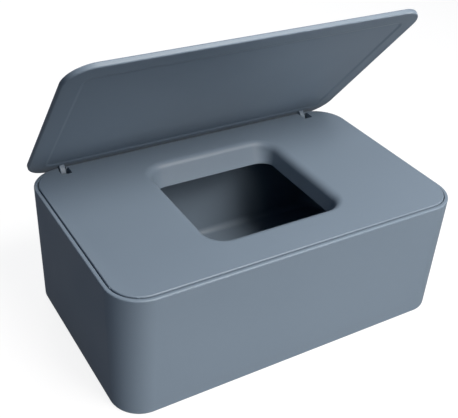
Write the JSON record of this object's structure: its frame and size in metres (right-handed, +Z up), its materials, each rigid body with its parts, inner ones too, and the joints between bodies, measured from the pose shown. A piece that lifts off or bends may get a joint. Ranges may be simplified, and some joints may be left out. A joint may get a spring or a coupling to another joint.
{
  "type": "wipes dispenser box",
  "caption": "Rectangular moulded box for wet wipes with rounded corners, a flush cover plate with a flared square mouth, and a flat lid hinged along the back on cranked arms.",
  "frame": {"origin": "middle of the flat foot, on the surface that the box stands on", "axes": "+X along the box's length, -Y to the front, +Z up"},
  "size_m": [0.19, 0.1234, 0.1541],
  "materials": {
    "slate_plastic": "fine satin moulded"
  },
  "bodies": {
    "box": {"body": "slate_plastic", "cover": "slate_plastic"},
    "lid": {"lid": "slate_plastic"}
  },
  "joints": [
    {"name": "lid_hinge", "type": "hinge", "parent": "box", "child": "lid", "pos_m": [0, 0.0546, 0.0615], "axis": [-1, 0, 0], "range_deg": [-50, 45]}
  ]
}
